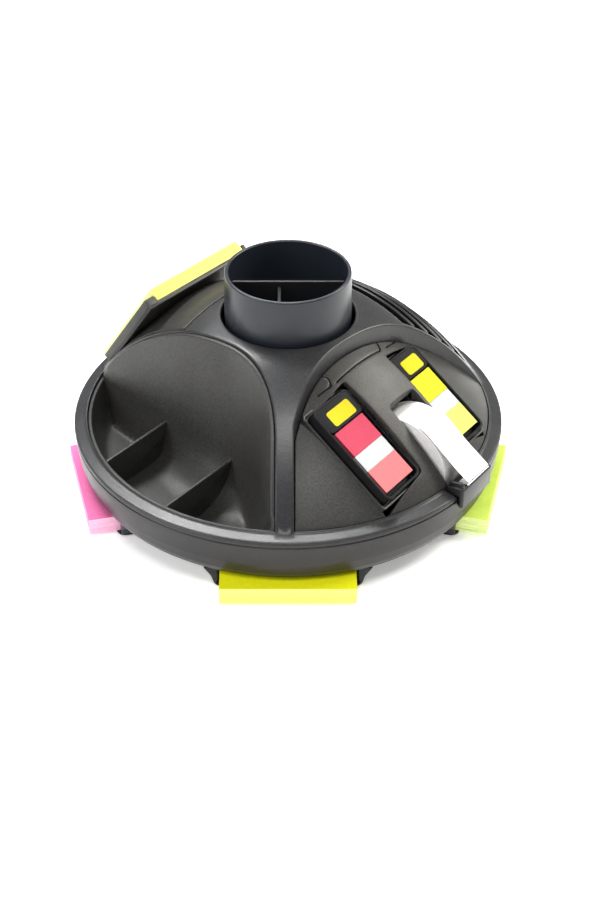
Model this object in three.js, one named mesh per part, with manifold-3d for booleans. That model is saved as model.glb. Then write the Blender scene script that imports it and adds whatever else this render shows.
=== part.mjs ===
// Rotary desk organizer: a domed carousel on a low base with four note-pad trays.
// Millimetres, +Z up. Origin on the desk, on the turning axis. The front faces -Y.
import * as THREE from 'three';
import { mergeVertices } from 'three/addons/utils/BufferGeometryUtils.js';
import Module from 'manifold-3d';

const wasm = await Module();
wasm.setup();

// ---- driving dimensions -------------------------------------------------------------------
const GAP = 0.3; // clearance between neighbouring pieces
const SIDES = 60; // facets round the large turned shapes

const FOOT = { radius: 7, height: 1.1, reach: 98 };
const PLATE = { bottom: 0.8, top: 2.0, hubRadius: 56, wingStart: 20, wingReach: 112, wingHalf: 42 };
const PAD = { side: 76.2, bottom: 2.3, top: 12.8, reach: 128.2 };
const PAD_TRAYS = { front: 270, left: 194, right: 346, rear: 90 }; // azimuths in degrees
const CHEEK = { thickness: 3, start: 62, end: 110, top: 13.1 };
const PAD_STOP = { inner: 46.5, outer: 49.5, half: 24, top: 11.1 };

const BOWL = { bottom: 13.5, floor: 16.2, rim: 43, outer: 127.3, inner: 124.9 };
const PIVOT = { radius: 4, headRadius: 7, headBottom: 1.4, headTop: 4.7, bossRadius: 12, top: 21.5 };
const NUT = { washerRadius: 11, washer: 1, radius: 7.2, height: 3 };
const GLIDE = { inner: 33.5, outer: 38.5, bottom: 9.3, top: 13.2 };

const DOME = { holeRadius: 38.75, top: 112, edgeRadius: 120, edge: 45.4, bulge: 1.6, shoulder: 0.85 };
const PANEL_DOME = { holeRadius: 38.75, top: 103, edgeRadius: 120, edge: 45, bulge: 1.35, shoulder: 0.9 };
const SKIN = 2.4; // wall of the moulded shells
const FLANGE = { foot: 117.6, lip: 0.6, inner: 119.4, innerTop: 45.4, domeFoot: 118.9 };
const OPENING_RADIUS = 119.5; // the openings stop here, at the inside of the flange
const PAST_RIM = 190; // the openings' outlines run on past the rim to here
const ABOVE_ALL = 150; // higher than any piece
const LINER_DEPTH = 12; // walls turned down round the two front openings

const CUP = { top: 140, rimRadius: 36.25, waist: 36.75, waistHeight: 113, bottom: 18, floor: 22, wall: 2.6 };
const DIVIDER = { thickness: 2, top: 133, armX: -5 };

const BIN = { floor: 22, scoopRadius: 88, scoopTop: 100, innerRadius: 44, wall: 1.8 };
const BIN_SIDE = { x: -7, bendY: -53.1, bendRadius: 75, noteOffset: 47.5 };
const BIN_DIVIDERS = { azimuth: 231.5, offsets: [-48.5, 6], inner: 54, top: 44.6, half: 1 };

const PANEL_AZIMUTH = -36.5; // the flag and tape lanes all run this way
const LANE_TILT = 34.5; // slope of the flag wells, degrees
const CASE = { length: 64, height: 9, wall: 1.4, lidHeight: 1.4 };
const WIDE_CASE = { along: 77.5, across: -36.5, width: 33 };
const NARROW_CASE = { along: 80.5, across: 30.6, width: 25 };
const CASE_DATUM = { along: 81, height: 70.2 }; // the flag wells' common sloping floor passes through here

const TAPE = { along: 87.5, height: 48, across: 2.5, radius: 28.5, width: 22 };
const CORE = { outer: 14.3, inner: 12.9 };
const TAPE_WELL = { clear: 1.2, inner: 77.5, lug: 2, lugHalf: 9 };
const TAPE_HUB = { radius: 12.6, bore: 4.3, pin: 4, pinHalf: 14.2 };
const TAPE_END = { along: 130.4, height: 52.2 };
const CUTTER = { inner: 119.4, outer: 130.8, halfWidth: 15 };
const BLADE = { teeth: 11, back: 124.5, root: 130.2, tip: 131.4, height: 49.9, slope: -10 };

const NOTE = { azimuth: 140, across: -2.5, tilt: 55, outerReach: 119.8, outerTop: 51.7 };
const CANARY = { side: 76.2, thickness: 8 };
const NOTE_BAY = { inner: 40.5, right: -44.6, left: 44.2 };
const CRADLE = { margin: 0.5, rail: 4.3, ledge: 2 };

const DISC = { azimuth: 50, count: 5, first: 50.5, pitch: 8.6, slot: 6.4, length: 127 };
const SLOT_ENDS = { first: -46, stagger: 4 }; // each slot starts a little further round than the last
const RACK = { bottom: 33, floor: 35, margin: 3, hidden: 6.8, flush: 0.1, endWall: 2, endTop: 53 };

const SCREW_PLACES = [[-1.9, -108], [111, 35], [49, 89.5], [-34.2, 107]];
const SCREW = { shank: 1.4, head: 3.4, headBottom: 14.6, headTop: 16.6, tip: 36, bossTop: 21 };

// ---- colours ------------------------------------------------------------------------------
const LOOKS = {
  charcoal: { color: 0x3b3c40, roughness: 0.6 },
  bowlGrey: { color: 0x3a3839, roughness: 0.4 },
  cupGrey: { color: 0x3c4048, roughness: 0.4 },
  black: { color: 0x17181a, roughness: 0.5 },
  rubber: { color: 0x141414, roughness: 0.9 },
  glide: { color: 0xd9d6cc, roughness: 0.4 },
  steel: { color: 0xb9bcc0, roughness: 0.3, metalness: 1 },
  neonYellow: { color: 0xe6f01e, roughness: 0.8 },
  pink: { color: 0xf277b0, roughness: 0.8 },
  lime: { color: 0xc8ea3c, roughness: 0.8 },
  canary: { color: 0xf4ee7a, roughness: 0.8 },
  flagRed: { color: 0xe4576f, roughness: 0.6 },
  flagYellow: { color: 0xf5e95c, roughness: 0.6 },
  tape: { color: 0xf1f0ec, roughness: 0.35 },
  core: { color: 0xcbb391, roughness: 0.9 },
  clear: { color: 0xe8eef0, roughness: 0.1 },
};

// ---- helpers ------------------------------------------------------------------------------
const radians = (degrees) => (degrees * Math.PI) / 180;

function toSolid(geometry) {
  const plain = geometry.clone();
  plain.deleteAttribute('normal');
  plain.deleteAttribute('uv');
  const merged = mergeVertices(plain, 1e-4);
  return new wasm.Manifold(new wasm.Mesh({
    numProp: 3,
    vertProperties: new Float32Array(merged.attributes.position.array),
    triVerts: new Uint32Array(merged.index.array),
  }));
}

function toGeometry(solid) {
  const mesh = solid.getMesh();
  const geometry = new THREE.BufferGeometry();
  geometry.setAttribute('position', new THREE.BufferAttribute(new Float32Array(mesh.vertProperties), 3));
  geometry.setIndex(new THREE.BufferAttribute(new Uint32Array(mesh.triVerts), 1));
  return geometry;
}

// A turned solid about Z from [radius, height] points that run counter-clockwise.
function turned(profile, sides = SIDES) {
  const closed = [...profile, profile[0]].map(([radius, height]) => new THREE.Vector2(radius, height));
  const geometry = new THREE.LatheGeometry(closed, sides);
  geometry.rotateX(Math.PI / 2);
  return toSolid(geometry);
}

// An upright prism from plan points.
function prism(points, bottom, top) {
  const shape = new THREE.Shape(points.map(([x, y]) => new THREE.Vector2(x, y)));
  const geometry = new THREE.ExtrudeGeometry(shape, { depth: top - bottom, bevelEnabled: false });
  geometry.translate(0, 0, bottom);
  return toSolid(geometry);
}

function block(low, high) {
  const geometry = new THREE.BoxGeometry(high[0] - low[0], high[1] - low[1], high[2] - low[2]);
  geometry.translate((low[0] + high[0]) / 2, (low[1] + high[1]) / 2, (low[2] + high[2]) / 2);
  return toSolid(geometry);
}

function disc(radius, bottom, top, x = 0, y = 0, sides = 24) {
  const geometry = new THREE.CylinderGeometry(radius, radius, top - bottom, sides);
  geometry.rotateX(Math.PI / 2);
  geometry.translate(x, y, (top + bottom) / 2);
  return toSolid(geometry);
}

// Turns a solid whose +X is "outward" to face an azimuth.
function facing(solid, azimuth) {
  return solid.rotate([0, 0, azimuth]);
}

// Plan point from a lane's own axes: along its azimuth, and across it to the left.
function planPoint(azimuth, along, across) {
  const angle = radians(azimuth);
  const [outward, left] = [[Math.cos(angle), Math.sin(angle)], [-Math.sin(angle), Math.cos(angle)]];
  return [along * outward[0] + across * left[0], along * outward[1] + across * left[1]];
}

// Moves a closed counter-clockwise outline inward by a distance (outward when negative).
function inset(points, distance) {
  const count = points.length;
  return points.map(([x, y], index) => {
    const before = points[(index + count - 1) % count];
    const after = points[(index + 1) % count];
    const inLength = Math.hypot(x - before[0], y - before[1]);
    const outLength = Math.hypot(after[0] - x, after[1] - y);
    const inNormal = [-(y - before[1]) / inLength, (x - before[0]) / inLength];
    const outNormal = [-(after[1] - y) / outLength, (after[0] - x) / outLength];
    const scale = distance / (1 + inNormal[0] * outNormal[0] + inNormal[1] * outNormal[1]);
    return [x + (inNormal[0] + outNormal[0]) * scale, y + (inNormal[1] + outNormal[1]) * scale];
  });
}

function domeHeight(dome, radius) {
  const share = Math.min(1, Math.max(0, (radius - dome.holeRadius) / (dome.edgeRadius - dome.holeRadius)));
  return dome.edge + (dome.top - dome.edge) * (1 - share ** dome.bulge) ** dome.shoulder;
}

// Radii from a dome's outer edge in to its hole, closer together at the edge.
function domeRadii(dome, outerRadius) {
  const steps = 8;
  return Array.from({ length: steps + 1 }, (_, step) => (
    outerRadius + (dome.holeRadius - outerRadius) * (step / steps) ** 1.25));
}

// Everything below a dome's surface lowered by a drop, out to a radius.
function underDome(dome, drop, outerRadius = 121) {
  const surface = domeRadii(dome, outerRadius).map((radius) => [radius, domeHeight(dome, radius) - drop]);
  return turned([[0, 0], [outerRadius, 0], ...surface, [0, dome.top - drop]]);
}

// ---- plan outlines of the openings (all counter-clockwise) ----------------------------------
function arcBetween(corner, fromDirection, toDirection, radius, steps) {
  const turn = toDirection - fromDirection;
  const reach = radius * Math.tan(radians(Math.abs(turn) / 2));
  const startX = corner[0] - reach * Math.cos(radians(fromDirection));
  const startY = corner[1] - reach * Math.sin(radians(fromDirection));
  const side = Math.sign(turn) * 90;
  const centreX = startX + radius * Math.cos(radians(fromDirection + side));
  const centreY = startY + radius * Math.sin(radians(fromDirection + side));
  return Array.from({ length: steps + 1 }, (_, step) => {
    const angle = radians(fromDirection - side + (turn * step) / steps);
    return [centreX + radius * Math.cos(angle), centreY + radius * Math.sin(angle)];
  });
}

function binOutline() {
  const { x, bendY, bendRadius, noteOffset } = BIN_SIDE;
  const bend = arcBetween([x, bendY], 90, NOTE.azimuth, bendRadius, 7);
  const far = planPoint(NOTE.azimuth, PAST_RIM, noteOffset);
  return [[x, -PAST_RIM], ...bend, far, [-PAST_RIM, -60], [-110, -PAST_RIM]];
}

function panelOutline() {
  const edge = [[3.2, -82], [12.5, -57], [30.7, -31], [61, -2.3], [95, 15.5], [131, 25]];
  const curve = new THREE.SplineCurve(edge.map(([x, y]) => new THREE.Vector2(x, y)));
  const points = curve.getPoints(14).map((point) => [point.x, point.y]).reverse();
  return [...points, [3.2, -PAST_RIM], [110, -PAST_RIM], [PAST_RIM, -60]];
}

// The note bay's footprint, drawn in by a margin on its three inner sides.
function noteOutline(margin = 0) {
  const { inner, right, left } = NOTE_BAY;
  const start = inner + margin;
  const [low, high] = [right + margin, left - margin];
  const corners = [[start, low], [PAST_RIM, low], [PAST_RIM, high], [start, high]];
  return corners.map(([along, across]) => planPoint(NOTE.azimuth, along, across));
}

const slotStart = (reach) => SLOT_ENDS.first - (SLOT_ENDS.stagger * (reach - DISC.first)) / DISC.pitch;

// A slanted footprint across the disc bay. Its "across" axis runs the same way as the note bay's azimuth.
function discOutline(near, far, extra) {
  const end = DISC.length + extra;
  const corners = [[near, -extra], [far, -extra], [far, end], [near, end]];
  return corners.map(([reach, offset]) => planPoint(DISC.azimuth, reach, slotStart(reach) + offset));
}

const lastSlot = DISC.first + DISC.pitch * (DISC.count - 1);

// ---- base ---------------------------------------------------------------------------------
const trayAzimuths = Object.values(PAD_TRAYS);

function basePlate() {
  const { bottom, top, wingHalf } = PLATE;
  const wing = block([PLATE.wingStart, -wingHalf, bottom], [PLATE.wingReach, wingHalf, top]);
  const cheek = block([CHEEK.start, wingHalf - CHEEK.thickness, bottom], [CHEEK.end, wingHalf, CHEEK.top]);
  const stop = block([PAD_STOP.inner, -PAD_STOP.half, bottom], [PAD_STOP.outer, PAD_STOP.half, PAD_STOP.top]);
  const arm = wing.add(cheek).add(cheek.mirror([0, 1, 0])).add(stop);
  const seatTop = GLIDE.bottom - GAP;
  const { inner, outer } = GLIDE;
  let solid = disc(PLATE.hubRadius, bottom, top, 0, 0, 36);
  for (const azimuth of trayAzimuths) {
    solid = solid.add(facing(arm, azimuth));
  }
  const foot = bottom + 0.2;
  solid = solid.add(turned([[inner, foot], [outer, foot], [outer, seatTop], [inner, seatTop]], 36));
  solid = solid.add(disc(PIVOT.bossRadius, bottom, CHEEK.top));
  solid = solid.subtract(disc(PIVOT.radius + GAP, -1, CHEEK.top + 1));
  solid = solid.subtract(disc(PIVOT.headRadius + 1, -1, PIVOT.headTop + GAP));
  for (const azimuth of trayAzimuths) {
    const [x, y] = planPoint(azimuth, FOOT.reach, 0);
    solid = solid.subtract(disc(FOOT.radius + GAP, 0, FOOT.height + GAP, x, y, 20));
  }
  return solid;
}

function rubberFoot(azimuth) {
  const { radius, height, reach } = FOOT;
  const [x, y] = planPoint(azimuth, reach, 0);
  const profile = [[0, 0], [radius - 0.4, 0], [radius, 0.4], [radius, height], [0, height]];
  return turned(profile, 20).translate([x, y, 0]);
}

function glideRing() {
  const { inner, outer, bottom, top } = GLIDE;
  const crown = [[outer, top - 1], [outer - 1, top], [inner + 1, top], [inner, top - 1]];
  return turned([[inner, bottom], [outer, bottom], ...crown], 36);
}

function pivotBolt() {
  const head = disc(PIVOT.headRadius, PIVOT.headBottom, PIVOT.headTop, 0, 0, 6);
  return head.add(disc(PIVOT.radius, PIVOT.headBottom + 1, PIVOT.top));
}

function ringOnBolt(radius, bottom, height, sides) {
  return disc(radius, bottom, bottom + height, 0, 0, sides).subtract(disc(PIVOT.radius + GAP, 0, 30));
}

const pivotWasher = () => ringOnBolt(NUT.washerRadius, BOWL.floor + GAP, NUT.washer, 24);
const pivotNut = () => ringOnBolt(NUT.radius, BOWL.floor + GAP + NUT.washer + GAP, NUT.height, 6);

function notePad(azimuth) {
  const half = PAD.side / 2;
  return facing(block([PAD.reach - PAD.side, -half, PAD.bottom], [PAD.reach, half, PAD.top]), azimuth);
}

// ---- carousel shells ------------------------------------------------------------------------
function bowlShell() {
  const hole = PIVOT.radius + 0.6;
  const { bottom, floor, rim, outer, inner } = BOWL;
  let solid = turned([
    [hole, bottom], [118.5, bottom], [121.2, 15], [125, 24], [outer, 38], [outer, rim],
    [inner, rim], [inner, 38], [122.4, 24], [118.6, floor], [hole, floor],
  ]);
  for (const [x, y] of SCREW_PLACES) {
    solid = solid.add(disc(5.2, bottom, SCREW.bossTop, x, y, 20));
    solid = solid.subtract(disc(SCREW.head + 0.5, 0, SCREW.headTop + GAP, x, y, 20));
    solid = solid.subtract(disc(SCREW.shank + 0.4, 0, 30, x, y, 12));
  }
  return solid;
}

function coverScrew([x, y]) {
  const head = disc(SCREW.head, SCREW.headBottom, SCREW.headTop, x, y, 16);
  return head.add(disc(SCREW.shank, SCREW.headTop - 0.5, SCREW.tip, x, y, 10));
}

// The dome's skin, with the flange that closes on the bowl.
function domeShell() {
  const outside = domeRadii(DOME, FLANGE.domeFoot).map((radius) => [radius, domeHeight(DOME, radius)]);
  const inside = outside.map(([radius, height]) => {
    const slope = (domeHeight(DOME, radius + 0.2) - domeHeight(DOME, radius - 0.2)) / 0.4;
    const length = Math.hypot(slope, 1);
    return [Math.max(DOME.holeRadius, radius + (SKIN * slope) / length), height - SKIN / length];
  }).reverse();
  const seat = BOWL.rim + GAP;
  const { foot, lip, inner, innerTop } = FLANGE;
  const flange = [[foot, seat], [BOWL.outer, seat], [BOWL.outer, seat + lip], [inner, innerTop]];
  return turned([...inside, ...flange, ...outside]);
}

// Walls turned down round the two front openings.
function openingLiners() {
  const centre = disc(DOME.holeRadius + 1, 0, ABOVE_ALL, 0, 0, 48);
  const plan = disc(118.6, 0, ABOVE_ALL, 0, 0, SIDES).subtract(centre);
  const band = underDome(DOME, 1, 120).subtract(underDome(DOME, LINER_DEPTH, 121.5)).intersect(plan);
  const walls = [binOutline(), panelOutline()].map((outline) => {
    const outer = prism(inset(outline, -2), 20, ABOVE_ALL);
    return outer.subtract(prism(outline, 10, ABOVE_ALL));
  });
  return walls[0].add(walls[1]).intersect(band);
}

function topCover() {
  let solid = domeShell().add(openingLiners());
  for (const [x, y] of SCREW_PLACES) {
    solid = solid.add(disc(4, SCREW.bossTop + GAP, ABOVE_ALL, x, y, 16).intersect(underDome(DOME, 1, 119)));
    solid = solid.subtract(disc(SCREW.shank + 0.4, 0, SCREW.tip + 2, x, y, 10));
  }
  const withinFlange = disc(OPENING_RADIUS, 0, ABOVE_ALL, 0, 0, SIDES);
  for (const outline of [binOutline(), panelOutline(), noteOutline()]) {
    solid = solid.subtract(prism(outline, 10, ABOVE_ALL).intersect(withinFlange));
  }
  const discBay = discOutline(DISC.first - DISC.slot / 2, lastSlot + DISC.slot / 2, RACK.margin);
  solid = solid.subtract(prism(discBay, 10, ABOVE_ALL));
  const notchHalf = CUTTER.halfWidth + 0.4;
  const notch = block([CUTTER.inner - 0.4, TAPE.across - notchHalf, 40], [140, TAPE.across + notchHalf, 60]);
  return solid.subtract(facing(notch, PANEL_AZIMUTH));
}

// ---- pen cup --------------------------------------------------------------------------------
function penCup() {
  const { top, rimRadius, waist, waistHeight, bottom, floor, wall } = CUP;
  const lowRadius = 34;
  return turned([
    [0, floor], [0, floor + wall], [lowRadius - wall, floor + wall], [waist - wall, waistHeight],
    [rimRadius - wall, top],
    [rimRadius, top], [waist, waistHeight], [lowRadius, bottom], [lowRadius - wall, bottom],
    [lowRadius - wall, floor],
  ].reverse(), 56);
}

function cupDivider() {
  const { thickness, top, armX } = DIVIDER;
  const bottom = CUP.floor + CUP.wall + GAP;
  const wide = block([-40, -thickness / 2, bottom], [40, thickness / 2, top]);
  const arm = block([armX - thickness / 2, -40, bottom], [armX + thickness / 2, 0, top - 3]);
  const clear = CUP.wall + GAP;
  const bore = turned([
    [0, 0], [34 - clear, 0], [34 - clear, CUP.floor], [CUP.waist - clear, CUP.waistHeight],
    [CUP.rimRadius - clear, CUP.top], [0, CUP.top],
  ], 48);
  return wide.add(arm).intersect(bore);
}

// ---- clip bin -------------------------------------------------------------------------------
// The bin's floor is flat under the small compartments and sweeps up in a quarter round to the cup.
function scoopHeight(radius) {
  const { floor, scoopRadius, scoopTop, innerRadius } = BIN;
  const share = Math.min(1, Math.max(0, (scoopRadius - radius) / (scoopRadius - innerRadius)));
  return floor + (scoopTop - floor) * (1 - Math.sqrt(1 - share * share));
}

function aboveScoop(drop, outerRadius) {
  const profile = [[BIN.innerRadius - drop, 150], [BIN.innerRadius - drop, BIN.scoopTop - drop]];
  for (const angle of [14, 32, 50, 70]) {
    const radius = BIN.scoopRadius - (BIN.scoopRadius - BIN.innerRadius) * Math.cos(radians(angle));
    profile.push([radius, scoopHeight(radius) - drop]);
  }
  profile.push([BIN.scoopRadius, BIN.floor - drop], [outerRadius, BIN.floor - drop], [outerRadius, 150]);
  return turned(profile);
}

function clipBin() {
  const rim = OPENING_RADIUS - 0.4;
  const outline = inset(binOutline(), 0.4);
  const below = underDome(DOME, 0.6, 121).intersect(aboveScoop(SKIN, rim));
  const outside = prism(outline, 5, 140).intersect(below);
  const inside = prism(inset(outline, BIN.wall), 5, ABOVE_ALL).intersect(aboveScoop(0, rim - BIN.wall));
  const walled = prism(inset(outline, 1), 5, ABOVE_ALL).intersect(aboveScoop(1, rim - 1));
  const { azimuth, offsets, inner, top, half } = BIN_DIVIDERS;
  let solid = outside.subtract(inside);
  for (const across of offsets) {
    const wall = block([inner, across - half, BIN.floor - SKIN], [rim, across + half, top]);
    solid = solid.add(facing(wall, azimuth).intersect(walled));
  }
  return solid;
}

// ---- flag and tape panel ----------------------------------------------------------------------
// Lays a piece built flat (length along X, width along Y, up Z) into its sloping well.
function intoLane(solid, { along, across }) {
  const height = CASE_DATUM.height + (CASE_DATUM.along - along) * Math.tan(radians(LANE_TILT));
  return facing(solid.rotate([0, LANE_TILT, 0]).translate([along, across, height]), PANEL_AZIMUTH);
}

function caseWell(item, margin, depth, rise) {
  const halfLength = CASE.length / 2 + margin;
  const halfWidth = item.width / 2 + margin;
  return intoLane(block([-halfLength, -halfWidth, -depth], [halfLength, halfWidth, rise]), item);
}

function tapeLane(inner, outer, halfWidth, bottom, top) {
  const lane = block([inner, TAPE.across - halfWidth, bottom], [outer, TAPE.across + halfWidth, top]);
  return facing(lane, PANEL_AZIMUTH);
}

function flagPanel() {
  const outline = inset(panelOutline(), 0.5);
  const rim = disc(OPENING_RADIUS - 0.5, 0, ABOVE_ALL, 0, 0, SIDES);
  const surface = underDome(PANEL_DOME, 0, 121).intersect(prism(outline, 5, ABOVE_ALL)).intersect(rim);
  const { clear, inner, lug, lugHalf } = TAPE_WELL;
  const half = TAPE.width / 2 + clear;
  const lugs = tapeLane(TAPE.along - lugHalf, TAPE.along + lugHalf, half + lug, TAPE.height - lugHalf, 90);
  const rims = [WIDE_CASE, NARROW_CASE].map((item) => caseWell(item, 2.4, 3.6, 20));
  let solid = surface.subtract(underDome(PANEL_DOME, 2.6, 122));
  solid = solid.add(lugs.add(rims[0]).add(rims[1]).intersect(surface));
  const rollSpace = TAPE.radius + 2;
  solid = solid.subtract(tapeLane(TAPE.along - rollSpace, inner + 1, half, 0, TAPE.height + rollSpace));
  solid = solid.subtract(tapeLane(inner, 140, half, 0, ABOVE_ALL));
  solid = solid.subtract(caseWell(WIDE_CASE, 0.7, 1.3, 40)).subtract(caseWell(NARROW_CASE, 0.7, 1.3, 40));
  return solid.subtract(onTapeAxis(disc(TAPE_HUB.pin + GAP, -40, 40)));
}

function onTapeAxis(solid) {
  return facing(solid.rotate([90, 0, 0]).translate([TAPE.along, TAPE.across, TAPE.height]), PANEL_AZIMUTH);
}

function sleeve(outer, inner, width, sides) {
  return disc(outer, -width / 2, width / 2, 0, 0, sides).subtract(disc(inner, -width, width, 0, 0, sides));
}

const tapePin = () => onTapeAxis(disc(TAPE_HUB.pin, -TAPE_HUB.pinHalf, TAPE_HUB.pinHalf, 0, 0, 20));
const tapeHub = () => onTapeAxis(sleeve(TAPE_HUB.radius, TAPE_HUB.bore, TAPE.width - 1, 24));
const tapeCore = () => onTapeAxis(sleeve(CORE.outer, CORE.inner, TAPE.width, 24));
const tapeRoll = () => onTapeAxis(sleeve(TAPE.radius, CORE.outer + GAP, TAPE.width, 36));

function tapeTail() {
  const radius = TAPE.radius + GAP;
  const [run, rise] = [TAPE_END.along - TAPE.along, TAPE_END.height - TAPE.height];
  const lift = Math.atan2(rise, run) + Math.acos(radius / Math.hypot(run, rise));
  const startAlong = TAPE.along + radius * Math.cos(lift);
  const startHeight = TAPE.height + radius * Math.sin(lift);
  const length = Math.hypot(TAPE_END.along - startAlong, TAPE_END.height - startHeight);
  const fall = Math.atan2(startHeight - TAPE_END.height, TAPE_END.along - startAlong);
  const slope = THREE.MathUtils.radToDeg(fall);
  const ribbon = block([0, -TAPE.width / 2, 0], [length, TAPE.width / 2, GAP]);
  const laid = ribbon.rotate([0, slope, 0]).translate([startAlong, TAPE.across, startHeight]);
  return facing(laid, PANEL_AZIMUTH);
}

// A section in the (outward, up) plane, swept across the lane and laid at the tape's place.
function acrossLane(section, halfWidth) {
  const solid = prism(section, -halfWidth, halfWidth).rotate([90, 0, 0]);
  return facing(solid.translate([0, TAPE.across, 0]), PANEL_AZIMUTH);
}

function cutterBlock() {
  const seat = BOWL.rim + GAP;
  const { inner, outer, halfWidth } = CUTTER;
  const front = [[outer, 38], [outer, 50.6], [124, 49.4]];
  const section = [[inner, seat], [128.2, seat], [128.2, 36], ...front, [inner, 47]];
  return acrossLane(section, halfWidth);
}

function cutterBlade() {
  const { teeth, back, root, tip, height, slope } = BLADE;
  const half = TAPE.width / 2;
  const tooth = TAPE.width / teeth;
  const edge = Array.from({ length: teeth }, (_, index) => [
    [root - back, -half + index * tooth],
    [tip - back, -half + (index + 0.5) * tooth],
  ]).flat();
  const blade = prism([[0, -half], ...edge, [root - back, half], [0, half]], 0, 0.5).rotate([0, slope, 0]);
  return facing(blade.translate([back, TAPE.across, height]), PANEL_AZIMUTH);
}

// ---- flag cases -----------------------------------------------------------------------------
function flagCase(item) {
  const [length, width] = [CASE.length / 2, item.width / 2];
  const tray = block([-length, -width, -1], [length, width, CASE.height - CASE.lidHeight - 1]);
  const pocket = block([-length + 12, -width + CASE.wall, 0.4], [length - CASE.wall, width - CASE.wall, 20]);
  return intoLane(tray.subtract(pocket), item);
}

function flagStack(item) {
  const low = [-CASE.length / 2 + 12 + GAP, -item.width / 2 + CASE.wall + GAP, 0.7];
  const top = CASE.height - CASE.lidHeight - 1.4;
  const high = [CASE.length / 2 - CASE.wall - GAP, item.width / 2 - CASE.wall - GAP, top];
  return intoLane(block(low, high), item);
}

function flagLid(item) {
  const bottom = CASE.height - CASE.lidHeight - 1 + GAP;
  const low = [-CASE.length / 2 + 0.5, -item.width / 2 + 0.5, bottom];
  const high = [CASE.length / 2 - 0.5, item.width / 2 - 0.5, CASE.height - 1 + GAP];
  return intoLane(block(low, high), item);
}

// ---- note cradle and its pad ------------------------------------------------------------------
// Lays a piece whose outer top edge is at the origin, running back along -X, into the note bay.
function intoNoteBay(solid) {
  return facing(solid.rotate([0, NOTE.tilt, 0]).translate([NOTE.outerReach, 0, NOTE.outerTop]), NOTE.azimuth);
}

function canaryPad() {
  const low = [-CANARY.side, NOTE.across - CANARY.side / 2, -CANARY.thickness];
  return intoNoteBay(block(low, [0, NOTE.across + CANARY.side / 2, 0]));
}

// A hood that closes the dome behind the pad, and the sloping tray the pad stands in.
function noteCradle() {
  const { right, left } = NOTE_BAY;
  const [low, high] = [right + CRADLE.margin, left - CRADLE.margin];
  const floor = -CANARY.thickness - GAP;
  const half = CANARY.side / 2 + GAP;
  const rim = disc(OPENING_RADIUS - 0.5, 0, ABOVE_ALL, 0, 0, SIDES);
  const bay = prism(noteOutline(CRADLE.margin), 20, ABOVE_ALL).intersect(rim);
  const skin = underDome(DOME, 0.1, 121).subtract(underDome(DOME, 0.1 + SKIN, 122)).intersect(bay);
  const hood = skin.subtract(intoNoteBay(block([-150, -60, floor - 1], [90, 60, 150])));
  const plate = block([-CANARY.side, low, floor - SKIN], [GAP + CRADLE.ledge, high, floor + CRADLE.rail]);
  const padSpace = block([-CANARY.side - 1, NOTE.across - half, floor], [GAP, NOTE.across + half, 1]);
  return intoNoteBay(plate.subtract(padSpace)).intersect(bay).add(hood);
}

// ---- disc rack --------------------------------------------------------------------------------
// One upright fin between two discs. Its crest follows the dome, lowered by a drop.
function rackFin(reach, drop) {
  const low = slotStart(reach) - RACK.endWall;
  const length = DISC.length + 2 * RACK.endWall;
  const crest = Array.from({ length: 6 }, (_, index) => {
    const across = low + (length * (5 - index)) / 5;
    return [across, domeHeight(DOME, Math.hypot(reach, across)) - drop];
  });
  const half = (DISC.pitch - DISC.slot) / 2;
  const section = [[low, RACK.bottom], [low + length, RACK.bottom], ...crest];
  return prism(section, -half, half).rotate([90, 0, 90]).translate([reach, 0, 0]);
}

function discRack() {
  const near = DISC.first - DISC.pitch / 2;
  const far = lastSlot + DISC.pitch / 2;
  const inside = prism(discOutline(near - 1, far + 1, 0), RACK.floor, ABOVE_ALL);
  let solid = prism(discOutline(near, far, RACK.endWall), RACK.bottom, RACK.endTop).subtract(inside);
  for (let index = 0; index <= DISC.count; index += 1) {
    const drop = index === 0 || index === DISC.count ? RACK.hidden : RACK.flush;
    solid = solid.add(facing(rackFin(near + DISC.pitch * index, drop), DISC.azimuth));
  }
  return solid;
}

// ---- assembly ---------------------------------------------------------------------------------
const group = new THREE.Group();

function place(name, solid, look) {
  const mesh = new THREE.Mesh(toGeometry(solid), new THREE.MeshStandardMaterial(LOOKS[look]));
  mesh.name = name;
  group.add(mesh);
}

place('base_plate', basePlate(), 'black');
for (const [tray, azimuth] of Object.entries(PAD_TRAYS)) {
  place(`rubber_foot_${tray}`, rubberFoot(azimuth), 'rubber');
}
place('glide_ring', glideRing(), 'glide');
place('pivot_bolt', pivotBolt(), 'steel');
place('pivot_washer', pivotWasher(), 'steel');
place('pivot_nut', pivotNut(), 'steel');

const padLooks = { front: 'neonYellow', left: 'pink', right: 'lime', rear: 'canary' };
for (const [tray, azimuth] of Object.entries(PAD_TRAYS)) {
  place(`note_pad_${tray}`, notePad(azimuth), padLooks[tray]);
}

place('bowl_shell', bowlShell(), 'bowlGrey');
place('top_cover', topCover(), 'charcoal');
SCREW_PLACES.forEach((spot, index) => place(`cover_screw_${index + 1}`, coverScrew(spot), 'steel'));
place('pen_cup', penCup(), 'cupGrey');
place('cup_divider', cupDivider(), 'black');
place('clip_bin', clipBin(), 'charcoal');
place('flag_panel', flagPanel(), 'charcoal');
place('disc_rack', discRack(), 'black');
place('note_cradle', noteCradle(), 'charcoal');
place('canary_pad', canaryPad(), 'canary');

place('tape_pin', tapePin(), 'black');
place('tape_hub', tapeHub(), 'black');
place('tape_core', tapeCore(), 'core');
place('tape_roll', tapeRoll(), 'tape');
place('tape_tail', tapeTail(), 'tape');
place('cutter_block', cutterBlock(), 'black');
place('cutter_blade', cutterBlade(), 'steel');

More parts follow.
